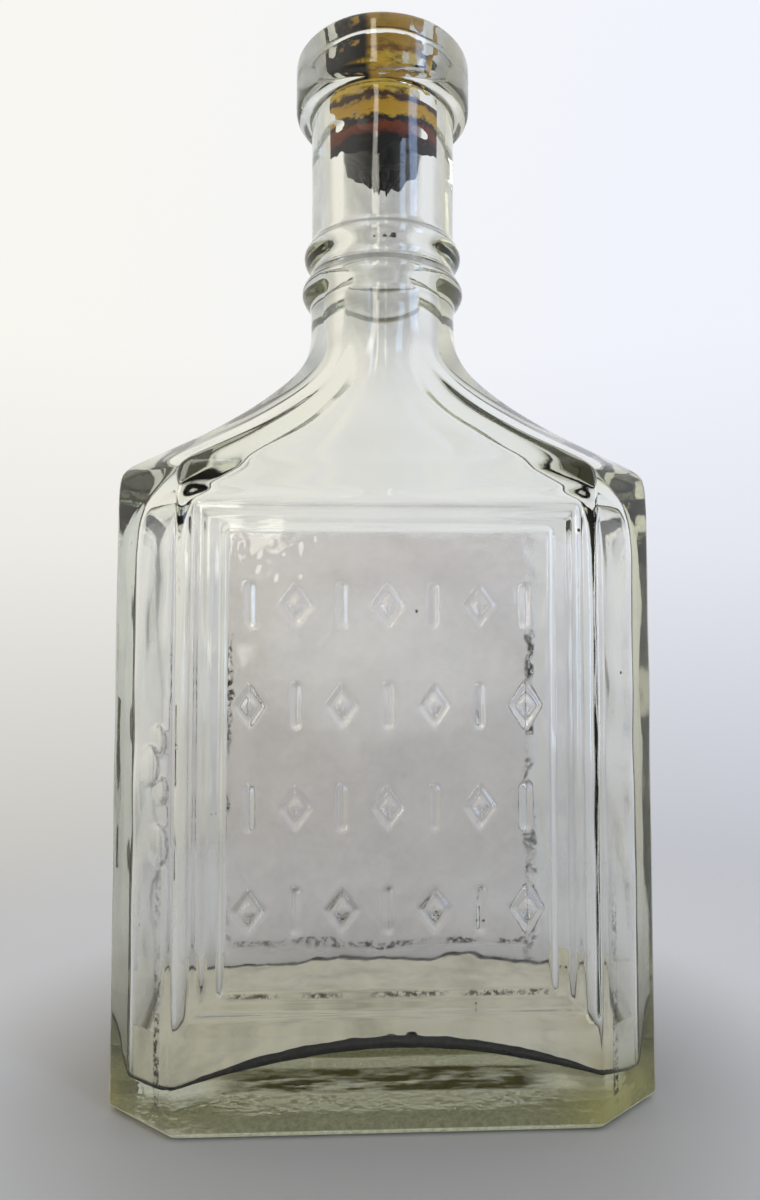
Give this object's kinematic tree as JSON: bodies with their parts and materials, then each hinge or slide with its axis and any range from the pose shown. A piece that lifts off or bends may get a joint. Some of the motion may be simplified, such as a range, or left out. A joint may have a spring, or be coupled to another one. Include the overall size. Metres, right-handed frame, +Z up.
{
  "type": "medicine bottle",
  "caption": "Clear glass rectangular medicine bottle with chamfered corners, a sunk framed front panel, a ringed neck with a heavy lip, and a stained cork that pulls out",
  "frame": {"origin": "centre of the base, on the surface that the bottle stands on", "axes": "+Z up along the neck, front panel towards -Y, +X to the right as seen from the front"},
  "size_m": [0.08, 0.04, 0.1634],
  "materials": {
    "glass": "clear glass with a faint yellow-green tint, olive where it is thick, slightly wavy",
    "residue": "dried dark medicine film",
    "cork": "old ochre cork with dark brown stain bands",
    "crust": "black dried medicine soaked into crumbled cork"
  },
  "bodies": {
    "bottle": {"glass_bottle": "glass", "floor_residue": "residue"},
    "stopper": {"cork_stopper": "cork", "cork_crust": "crust"}
  },
  "joints": [
    {"name": "cork_pull", "type": "slide", "parent": "bottle", "child": "stopper", "axis": [0, 0, 1], "range_m": [0, 0.028]}
  ]
}
